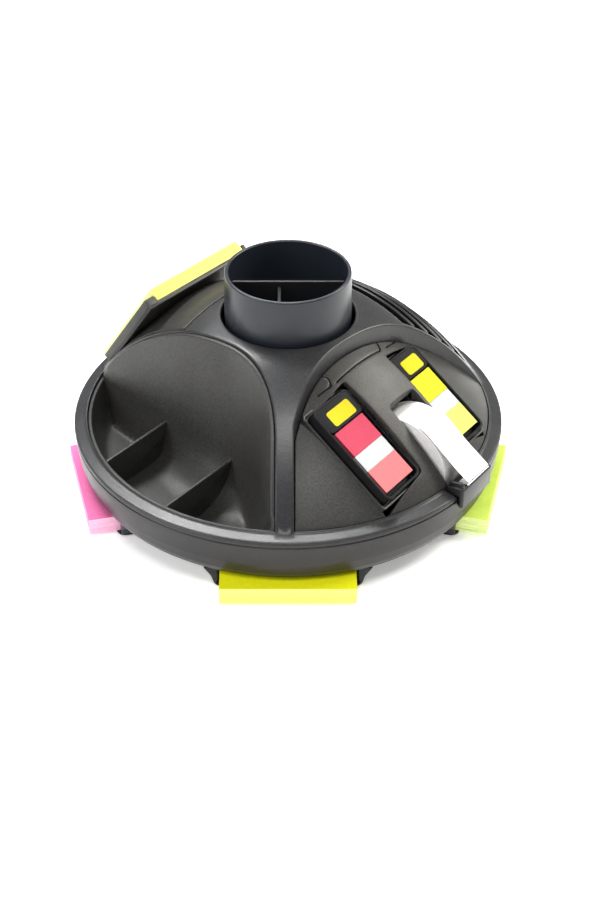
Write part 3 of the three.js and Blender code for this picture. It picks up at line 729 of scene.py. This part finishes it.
def build_cup_divider():
    """A wall across the cup and a lower arm from its middle."""
    low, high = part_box("cup_divider")
    top, bottom = high.z / MM, low.z / MM
    half_low, half_high = 30.9, 33.5
    wall = [(-half_low, bottom), (half_low, bottom), (half_high, top, 2.5), (-half_high, top, 2.5)]
    arm = [(0.6, bottom), (half_low - 0.6, bottom), (half_high - 0.7, top - 3, 2.5), (0.6, top - 3, 0.3)]
    shape = Shape()
    for corners, matrix in ((wall, None), (arm, move(-5, 0, 0) @ turn_z(-90))):
        shape.add(across_section(softened(corners, 0.8, 5), -1, 1, 0.45), matrix)
    make("cup_partition", shape, "carousel", "cup_divider", "black_plastic")


# ---- clip bin ----
def scoop_height(radius):
    share = np.clip((BIN["scoop_radius"] - radius) / (BIN["scoop_radius"] - BIN["inner_radius"]), 0, 1)
    return BIN["floor"] + (BIN["scoop_top"] - BIN["floor"]) * (1 - np.sqrt(1 - share ** 2))


def build_bin():
    outline = inset(bin_outline(), 0.4)
    rim_radius = OPENING_RADIUS - 0.4
    draft = tan(radians(BIN["draft"]))

    def top(points, gap):
        radius = radius_of(points)
        front = np.clip((gap + 3 - (rim_radius - radius)) / 3, 0, 1)
        rim = dome_height(DOME, radius) - 0.6
        rim = rim + (BIN["front_rim"] - rim) * front
        rim_edge = rim - edge_fall(gap, 0.7) - edge_fall(np.clip(BIN["wall"] - gap, 0, 9), 0.6)
        wall = rim - 0.6 - (gap - BIN["wall"]) / draft
        tub = smooth_high(scoop_height(radius), wall, BIN["fillet"])
        return np.where(gap <= BIN["wall"], rim_edge, np.minimum(tub, rim - 0.6))

    def bottom(points, gap):
        return np.minimum(scoop_height(radius_of(points)), top(points, gap)) - BIN["skin"]

    rows = (0.06, 0.2, 0.4, 0.7, 1.1, 1.5, 1.7, 1.95, 2.12, 2.2, 2.4,
            2.8, 3.2, 3.7, 4.2, 4.8, 5.4, 6.1, 7, 8, 9.2, 10.6)
    inside = inside_both(outline, rim_radius)
    shape = Shape().add(plate([outline, circle(rim_radius)], inside, top, bottom, rows, 2.2, 1.4))
    for offset in BIN_DIVIDERS["offsets"]:
        radii = np.array([56.6, 59.0, 62.0, 66.0, 70.0, 75.0, 80.0, 88.0])
        low = [(sqrt(r * r - offset * offset), scoop_height(r) - 1.0) for r in radii]
        end = sqrt(117.8 ** 2 - offset * offset)
        section = [*low, (end, 21.0), (end, BIN_DIVIDERS["top"]), (low[0][0] - 1, BIN_DIVIDERS["top"])]
        divider = across_section(section, offset - 1.0, offset + 1.0, 0.7)
        shape.add(divider, turn_z(BIN_DIVIDERS["azimuth"]))
    make("bin_moulding", shape, "carousel", "clip_bin", "insert", sharp=50)


# ---- flag and tape panel ----
def tape_place(aside=0.0):
    """The tape roll's middle, or a place aside of it, with X down the lane."""
    return turn_z(PANEL_AZIMUTH) @ move(TAPE["along"], TAPE["across"] + aside, TAPE["height"])


def lane_place(item):
    """The tilted, flat place where a flag case lies: X down the lane, Z out of the panel."""
    height = CASE["base_height"] + (CASE["base_along"] - item["along"]) * tan(radians(LANE_TILT))
    tilt = Matrix.Rotation(radians(LANE_TILT), 4, "Y")
    return turn_z(PANEL_AZIMUTH) @ move(item["along"], item["across"], height) @ tilt


def well_outline(item):
    """The plan outline of a flag case's well, where the tilted case passes the panel's skin."""
    tilt = radians(LANE_TILT)
    middle = item["along"] + 5.0 * sin(tilt)
    half = (CASE["length"] / 2 + WELL_GAP) * cos(tilt)
    side = item["width"] / 2 + WELL_GAP
    across = item["across"]
    return lane_box(PANEL_AZIMUTH, middle - half, across - side, middle + half, across + side, 1.6)


def groove(points):
    """A narrow slit along a bent line in lane axes."""
    line = np.array(points, float)
    normal = left_of(np.diff(line, axis=0))
    joint = np.vstack([normal[:1], normal[:-1] + normal[1:], normal[-1:]])
    joint /= (joint * np.vstack([normal[:1], normal])).sum(1)[:, None]
    outline = np.vstack([line - joint * GROOVE_HALF, (line + joint * GROOVE_HALF)[::-1]])
    return np.array([plan(PANEL_AZIMUTH, *p) for p in outline])


def panel_grooves():
    left = [(43.2, -26.6, 0), (46.0, -24.9), (50.4, -27.4), (48.3, -37.6, 0)]
    right = [(44.6, 20.4, 0), (47.6, 21.4), (52.6, 18.2), (51.0, -23.8, 0)]
    outer = [(45.2, 36.4, 0), (48.4, 37.2), (51.6, 33.4), (52.4, 24.0, 0)]
    return [groove(softened(line, 1.2, 3)) for line in (left, right, outer)]


def build_panel():
    outline = inset(panel_outline(), 0.5)
    rim_radius = OPENING_RADIUS - 0.5
    wells = [well_outline(item) for item in CASES.values()]
    tape_well = lane_box(PANEL_AZIMUTH, TAPE_WELL["inner"], TAPE["across"] - TAPE_WELL["half"],
                         BEYOND, TAPE["across"] + TAPE_WELL["half"], 1.5)
    cuts = [*wells, tape_well, *panel_grooves()]
    downhill = np.array(plan(PANEL_AZIMUTH, 1, 0))
    skin = 2.6

    def inside(points):
        return within(points, [outline]) & (radius_of(points) < rim_radius) & ~within_any(points, cuts)

    def surface(points):
        return dome_height(PANEL_DOME, np.minimum(radius_of(points), 119.6))

    def top(points, gap):
        return surface(points) - edge_fall(gap, 0.45)

    def bottom(points, gap):
        beside_tape = (gap_to(points, [tape_well]) < 1.3) & (points @ downhill > TAPE_WELL["inner"] + 1.5)
        depth = np.where(beside_tape, 20.0, skin)
        lean = np.clip(1 - gap_to(points, wells) / 7, 0, 1) * skin * tan(radians(LANE_TILT))
        shifted = points - downhill * lean[:, None]
        return np.column_stack([shifted, np.maximum(surface(points) - depth, 32)])

    rows = (0.05, 0.16, 0.45, 1.2, 2.2)
    shape = Shape().add(plate([outline, circle(rim_radius), *cuts], inside, top, bottom, rows, 2.8))
    for item in CASES.values():
        pocket = centred(CASE["length"] + 4.4, item["width"] + 4.4, 2.4)
        shape.add(tray(pocket, 1.4, -3.4, -1.5, 1.2), lane_place(item))
    lug = softened([(-8.5, -9), (8.5, -9), (8.5, 14), (-8.5, 22)], 3, 5)
    for side in (-1, 1):
        shape.add(across_section(lug, -0.9, 0.9, 0.4), tape_place(side * (TAPE_WELL["half"] + 1.0)))
    make("panel_moulding", shape, "carousel", "flag_panel", "insert", sharp=40)


def build_flag_case(name, colours):
    """A black case with its stack of film flags and a clear lid, which lift out together."""
    item = CASES[name]
    place, body = lane_place(item), f"{name}_flags_body"
    length, width = CASE["length"], item["width"]
    tray_top = CASE["height"] - CASE["lid"] - 1
    case = Shape().add(tray(centred(length, width, 4.2), 1.5, -1, 0.4, tray_top), place)
    shelf = rectangle(-length / 2 + 1.2, -width / 2 + 1.2, -length / 2 + 16.4, width / 2 - 1.2, 3.0)
    case.add(slab(shelf, 0.2, tray_top - 0.15, 0.3), place)
    label = rectangle(-length / 2 + 5.2, -width * 0.27, -length / 2 + 14.6, width * 0.33, 1.6)
    case.add(slab(label, tray_top - 0.2, tray_top + 0.06, 0.04, 1), place, 1)
    make(f"{name}_case_moulding", case, body, f"{name}_flag_case", "case_black", "label",
         slot="black_plastic")

    flags = Shape()
    half = width * 0.395
    spans = [(-15.0, 1.6), (1.6, 12.4), (12.4, length / 2 - 4.2)]
    layers, pitch, film, raised = 6, 0.86, 0.8, 0.16
    for layer in range(layers):
        low = 0.7 + layer * pitch
        for finish, (start, end) in enumerate(spans):
            slip = random.uniform(-0.12, 0.12)
            sheet = rectangle(start + 0.04, -half + slip, end - 0.04, half + slip, 0.3, 2)
            lift = raised if finish == 0 and layer == layers - 1 else 0.0
            flags.add(slab(sheet, low, low + film + lift, 0.06, 1), place, finish)
    make(f"{name}_flag_stack", flags, body, f"{name}_flags", *colours)

    lid = tray_lid(centred(length - 1, width - 1, 5.0, 8), tray_top + 0.3, CASE["height"] - 0.7)
    make(f"{name}_clear_lid", Shape().add(lid, place), body, f"{name}_flag_lid", "clear", sharp=60)


def tray_lid(outline, low, high):
    """A thin domed lid, open below: its skin turns down at the edge."""
    outside = [(0, low), (0.05, high - 1.0), (0.3, high - 0.45), (0.8, high - 0.1), (1.5, high)]
    inside = [(1.6, high - 0.5), (1.2, high - 0.55), (0.85, high - 0.85), (0.7, high - 1.2), (0.65, low)]
    return stepped(outline, inside + outside)


# ---- tape and its cutter ----
def tape_axis():
    return tape_place() @ Matrix.Rotation(radians(90), 4, "X")


def build_tape():
    half = TAPE["width"] / 2
    core, outer = TAPE["core"], TAPE["radius"]
    axis = tape_axis()
    roll = Shape().add(ring(core + 0.3, -half + 0.3, outer - 0.3, half - 0.3, 0.35, 128), axis)
    bands = 8
    for side in (-1, 1):
        for step in range(bands + 1):
            radius = core + 1.6 + step * (outer - core - 3) / bands
            band = ring(radius, -0.12, radius + 0.5, 0.12, 0.06, 96, 2)
            roll.add(band, axis @ move(0, 0, side * (half - 0.3)))
    make("tape_winding", roll, "tape", "tape_roll", "tape")
    sleeve = Shape().add(ring(12.9, -half, core, half, 0.3, 96), axis)
    make("core_sleeve", sleeve, "tape", "tape_core", "core")

    hub = Shape()
    for low, high in ((4.3, 5.9), (11.2, 12.6)):
        hub.add(ring(low, -half + 0.5, high, half - 0.5, 0.4, 72), axis)
    spoke = slab(rectangle(5.6, -0.7, 11.5, 0.7, 0.2, 2), -half + 1.2, half - 1.2, 0.3)
    for index in range(6):
        hub.add(spoke, axis @ turn_z(60 * index))
    make("hub_moulding", hub, "tape", "tape_hub", "black_plastic")

    pin = [(0, -14.2), (3.4, -14.2), (4.0, -13.6), (4.0, 13.6), (3.4, 14.2), (0, 14.2)]
    make("pin_moulding", Shape().add(turned(pin, 48), axis), "carousel", "tape_pin", "black_plastic")


def build_tape_tail():
    """The loose end: it leaves the roll on a tangent, sags slightly and rests on the blade."""
    radius = TAPE["radius"] + 0.3
    rise = CUTTER["edge_height"] - TAPE["height"]
    run = CUTTER["edge_along"] - TAPE["along"]
    lift = atan2(rise, run) + acos(radius / hypot(run, rise))
    start = np.array([radius * cos(lift), radius * sin(lift)])
    end = np.array([run, rise])
    middles = [np.array([radius * cos(lift + a), radius * sin(lift + a)]) for a in (0.35, 0.2, 0.1)]
    for share in np.linspace(0, 1, 18):
        sag = -0.7 * sin(pi * share)
        middles.append(start + (end - start) * share + np.array([0, sag]))
    middles = np.array(middles)
    half = TAPE["width"] / 2 - 0.4
    sides = (-1, -0.5, 0, 0.5, 1)
    section = [(side, 0) for side in sides] + [(side, 0.2) for side in sides[::-1]]
    loops = []
    for index, (middle, up) in enumerate(zip(middles, left_of(np.gradient(middles, axis=0)))):
        curl = 0.25 * sin(index * 0.5)
        strip = []
        for side, depth in section:
            place = middle + up * (0.25 + depth + 0.2 * side * side + curl * side * 0.3)
            strip.append((place[0], side * half, place[1]))
        loops.append(np.array(strip)[::-1])
    make("tape_strip", Shape().add(stack(loops), tape_place()), "carousel", "tape_tail", "tape", sharp=60)


def build_cutter():
    inner, outer, half = CUTTER["inner"], CUTTER["outer"], CUTTER["half"]
    section = [(inner, 43.3, 0.4), (127.7, 43.3, 0.3), (127.9, 36, 0.6), (outer - 0.2, 36.8, 1.6),
               (outer, 50.0, 1.4), (124, 49.2, 2), (inner, 47.4, 1.2)]
    matrix = turn_z(PANEL_AZIMUTH) @ move(0, TAPE["across"], 0)
    block = Shape().add(across_section(softened(section, 0.8, 5), -half, half, 0.9), matrix)
    guide = softened([(119.5, 46), (129.6, 47.5), (130.0, 53.2, 1.6), (120.5, 51.2, 2.2)], 1.2, 5)
    for side in (-1, 1):
        low = side * (half - 2.0) - 1.1
        block.add(across_section(guide, low, low + 2.2, 0.7), matrix)
    make("cutter_moulding", block, "carousel", "cutter_block", "black_plastic")

    teeth, half = 24, TAPE["width"] / 2
    pitch = 2 * half / teeth
    edge = [(6.1 + (0.75 if k % 2 else 0.0), -half + k * pitch / 2) for k in range(2 * teeth + 1)]
    blade = slab([(0.0, -half), *edge, (0.0, half)], 0, 0.45, 0.05, 1)
    tilt = Matrix.Rotation(radians(-10), 4, "Y")
    place = turn_z(PANEL_AZIMUTH) @ move(124.5, TAPE["across"], 50.0) @ tilt
    make("blade_stamping", Shape().add(blade, place), "carousel", "cutter_blade", "blade", sharp=20)


# ---- note cradle ----
def note_place():
    """The tilted place whose origin is the canary pad's outer top edge, running back along -X."""
    tilt = Matrix.Rotation(radians(NOTE["tilt"]), 4, "Y")
    return turn_z(NOTE_AZIMUTH) @ move(NOTE["reach"], 0, NOTE["top"]) @ tilt


def build_cradle():
    """A hood that closes the dome behind the pad, and the sloping tray the pad stands in."""
    low, high = CRADLE["low"], CRADLE["high"]
    rim_radius = OPENING_RADIUS - 0.5
    hood = lane_box(NOTE_AZIMUTH, CRADLE["start"], low, BEYOND, high, 0.6)
    downhill = np.array(plan(NOTE_AZIMUTH, 1, 0))
    tilt = radians(NOTE["tilt"])

    def top(points, gap):
        under_tray = NOTE["top"] + (NOTE["reach"] - points @ downhill) * tan(tilt)
        under_tray += (CRADLE["floor"] - 1.2) / cos(tilt)
        surface = dome_height(DOME, np.minimum(radius_of(points), 118.5)) - 0.15
        return np.minimum(surface - edge_fall(gap, 0.8), under_tray)

    def bottom(points, gap):
        return top(points, gap) - 2.2

    rows = (0.07, 0.24, 0.5, 0.8, 1.3)
    inside = inside_both(hood, rim_radius)
    shape = Shape().add(plate([hood, circle(rim_radius)], inside, top, bottom, rows, 2.2))
    floor, rail, place = CRADLE["floor"], CRADLE["rail"], note_place()
    back = NOTE["side"]
    outer_edge = [(-2.8, low), (-0.5, -40), (2.3, -35), (2.3, 35), (-0.5, 40), (-2.8, high)]
    tray_back = softened([(-back, low), *outer_edge, (-back, high)], 1, 3)
    shape.add(slab(tray_back, floor - 2.4, floor, 0.5), place)
    sides = NOTE["across"] - back / 2 - 0.3, NOTE["across"] + back / 2 + 0.3
    right = softened([(-back, low), (-10.8, low), (-9.0, sides[0]), (-back, sides[0])], 0.8, 3)
    left = softened([(-back, sides[1]), (-6.0, sides[1]), (-10.8, high), (-back, high)], 1.2, 3)
    for outline in (right, left):
        shape.add(slab(outline, floor - 2.2, rail, 0.8), place)
    shape.add(slab(rectangle(0.4, -19, 2.3, 19, 0.6), floor - 2.0, rail - 0.5, 0.6), place)
    make("cradle_moulding", shape, "carousel", "note_cradle", "insert", sharp=36)


# ---- disc rack ----
def build_rack():
    """A slab floor with end walls and upright ribs, whose crests follow the dome."""
    near = DISC["first"] - DISC["pitch"] / 2
    far = near + DISC["pitch"] * DISC["count"]
    half = (DISC["pitch"] - DISC["slot"]) / 2
    bottom = RACK["bottom"]
    shape = Shape().add(slab(disc_outline(near - 1, far + 1, 1.9), bottom, RACK["floor"], 0.4))
    for index in range(DISC["count"] + 1):
        reach = near + DISC["pitch"] * index
        drop = RACK["hidden"] if index in (0, DISC["count"]) else 0.1
        low = slot_start(reach) - 2
        across = np.linspace(low + DISC["length"] + 4, low, 44)
        crest = dome_height(DOME, np.hypot(reach, across)) - drop
        section = [(low, bottom + 0.1), (across[0], bottom + 0.1), *zip(across, crest)]
        shape.add(across_section(section, -reach - half, -reach + half, 0.6), turn_z(DISC_AZIMUTH + 90))
    for offset in (-2.0, DISC["length"]):
        ends = [(near, offset), (far, offset), (far, offset + 2), (near, offset + 2)]
        outline = [plan(DISC_AZIMUTH, reach, slot_start(reach) + across) for reach, across in ends]
        shape.add(slab(outline, bottom + 0.2, RACK["end_top"], 0.4))
    make("rack_moulding", shape, "carousel", "disc_rack", "black_plastic", sharp=40)


# ---- note pads ----
def pad_sheets(low, high, side, sheets, matrix):
    """A pad as gummed sections of sheets, a little out of line with each other."""
    shape = Shape()
    pitch = (high - low) / sheets
    half = side / 2
    slip = SHEET_SLIP
    for index in range(sheets):
        dx, dy = random.uniform(-slip, slip), random.uniform(-slip, slip)
        outline = rectangle(-half + slip + dx, -half + slip + dy, half - slip + dx, half - slip + dy, 0.25, 2)
        start = low + pitch * index
        shape.add(slab(outline, start, start + pitch - 0.012, 0.05, 1))
    shape.points = placed(shape.points, matrix)
    return shape


def build_canary_pad():
    side = NOTE["side"]
    matrix = note_place() @ move(-side / 2, NOTE["across"], 0)
    shape = pad_sheets(-NOTE["thickness"], 0, side, 10, matrix)
    make("canary_sheets", shape, "canary_notes", "canary_pad", "paper_canary")


def build_base_pads():
    colours = {"front": "paper_neon", "left": "paper_pink", "right": "paper_lime", "rear": "paper_canary"}
    for side, azimuth in PAD_TRAYS.items():
        matrix = turn_z(azimuth) @ move(PAD["reach"] - PAD["side"] / 2, 0, 0)
        shape = pad_sheets(PAD["bottom"], PAD["top"], PAD["side"], 12, matrix)
        make(f"{side}_sheets", shape, f"{side}_notes", f"note_pad_{side}", colours[side])


# ---- base ----
def build_base():
    half = BASE["wing"]
    wings = [lane_box(a, 20, -half, BASE["wing_end"], half, 5) for a in PAD_TRAYS.values()]
    feet = [circle(7.3, 40) + np.array(plan(a, BASE["foot"], 0)) for a in PAD_TRAYS.values()]

    def inside(points):
        radius = radius_of(points)
        return ((radius < BASE["disc"]) | within_any(points, wings)) & (radius > BASE["hole"])

    def top(points, gap):
        return BASE["top"] - edge_fall(gap, 0.4)

    def bottom(points, gap):
        over_foot = gap_to(points, feet) * (1 - 2 * within(points, feet)) < 0
        return np.where(over_foot, 1.4, BASE["bottom"]) + edge_fall(gap, 0.3)

    lines = [circle(BASE["disc"], 120), circle(BASE["hole"], 40), *wings, *feet]
    shape = Shape().add(plate(lines, inside, top, bottom, (0.1, 0.3, 0.6), 9))
    shape.add(ring(4.3, 4.8, 12, 13.1, 0.5, 60))
    shape.add(ring(8, 1.2, 12, 6, 0.3, 60))
    shape.add(ring(33.5, 2.2, 38.5, 9.0, 0.4, 120))
    cheek = [(39.0, 1.2, 0.3), (41.6, 1.2, 0.8), (43.2, 6.5, 6), (47.6, 13.1, 0.5), (39.0, 13.1, 0.4)]
    cheek = softened(cheek, 0.4, 5)
    for azimuth in PAD_TRAYS.values():
        for outline in (cheek, [(-x, y) for x, y in cheek][::-1]):
            points, faces = slab(outline, -110, -62, 0.7)
            points = np.column_stack([-points[:, 2], points[:, 0], points[:, 1]])
            shape.add((points, faces), turn_z(azimuth))
        stop = rectangle(46.5, -24, 49.5, 24, 1.2)
        shape.add(slab(stop, 2.2, 11.1, 0.5), turn_z(azimuth))
    make("base_moulding", shape, "base", "base_plate", "black_plastic", sharp=36)


# ---- CAD pieces that keep their own meshes ----
def finish_cad_nodes():
    looks = {"glide_ring": "glide", "pivot_bolt": "steel", "pivot_washer": "steel", "pivot_nut": "steel"}
    looks |= {f"rubber_foot_{side}": "rubber" for side in PAD_TRAYS}
    looks |= {f"cover_screw_{index}": "steel" for index in range(1, 5)}
    for node, look in looks.items():
        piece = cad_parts[node]
        piece.data.materials.clear()
        piece.data.materials.append(FINISH[look])


# ---- studio ----
def build_floor():
    material, tree, shader, place = finish_base("pale_floor")
    clouds = ramp(tree, noise(tree, place, 3), (0.93, 0.93, 0.93), (0.95, 0.95, 0.95))
    settle(shader, {"Base Color": clouds, "Roughness": 0.9, "Specular IOR Level": 0.1,
                    "Emission Color": (1, 1, 1, 1), "Emission Strength": 0.3})
    half = 6.0
    corners = [(-half, -half, 0), (half, -half, 0), (half, half, 0), (-half, half, 0)]
    mesh = bpy.data.meshes.new("studio_floor")
    mesh.from_pydata(corners, [], [(0, 1, 2, 3)])
    mesh.materials.append(material)
    floor = bpy.data.objects.new("studio_floor", mesh)
    bpy.context.scene.collection.objects.link(floor)


def soft_light(name, place, aim, size, watts, tint=(1, 1, 1)):
    lamp = bpy.data.lights.new(name, "AREA")
    lamp.shape = "RECTANGLE"
    lamp.size, lamp.size_y = size
    lamp.energy = watts
    lamp.color = tint
    light = bpy.data.objects.new(name, lamp)
    light.location = place
    light.rotation_euler = (Vector(aim) - Vector(place)).to_track_quat("-Z", "Y").to_euler()
    bpy.context.scene.collection.objects.link(light)


def build_studio():
    world = bpy.data.worlds.new("studio")
    world.use_nodes = True
    backdrop = world.node_tree.nodes["Background"]
    backdrop.inputs["Color"].default_value = (1, 1, 1, 1)
    backdrop.inputs["Strength"].default_value = 0.4
    bpy.context.scene.world = world
    soft_light("front_top", (0.0, -0.60, 1.15), (0, 0, 0.05), (0.6, 0.25), 7)
    soft_light("left_fill", (-1.3, -0.8, 0.8), (0, 0, 0.05), (0.9, 0.9), 14)
    soft_light("rear_top", (-0.25, 0.60, 1.15), (-0.05, -0.08, 0.05), (0.9, 0.22), 26)
    soft_light("right_rear", (1.05, 0.42, 1.0), (0.05, 0, 0.06), (0.7, 0.5), 22, (1.0, 0.97, 0.88))


def build_camera():
    """Seen from the front, looking down at 34.6 degrees from just over a metre."""
    lens = bpy.data.cameras.new("studio_camera")
    lens.lens = 70.2
    lens.sensor_width = 36.0
    lens.shift_x = 0.0132
    lens.shift_y = -0.0548
    camera = bpy.data.objects.new("studio_camera", lens)
    place, aim = Vector((0, -0.8622, 0.6439)), Vector((0, 0, 0.05))
    camera.location = place
    camera.rotation_euler = (aim - place).to_track_quat("-Z", "Y").to_euler()
    bpy.context.scene.collection.objects.link(camera)
    bpy.context.scene.camera = camera
    bpy.context.scene.view_settings.view_transform = "Standard"


build_base()
build_base_pads()
build_bowl()
build_cover()
build_cup()
build_cup_divider()
build_bin()
build_panel()
build_flag_case("wide", ("flags_red", "flags_white", "flags_salmon"))
build_flag_case("narrow", ("flags_yellow", "flags_white", "flags_pale"))
build_tape()
build_tape_tail()
build_cutter()
build_cradle()
build_canary_pad()
build_rack()
finish_cad_nodes()
build_floor()
build_studio()
build_camera()
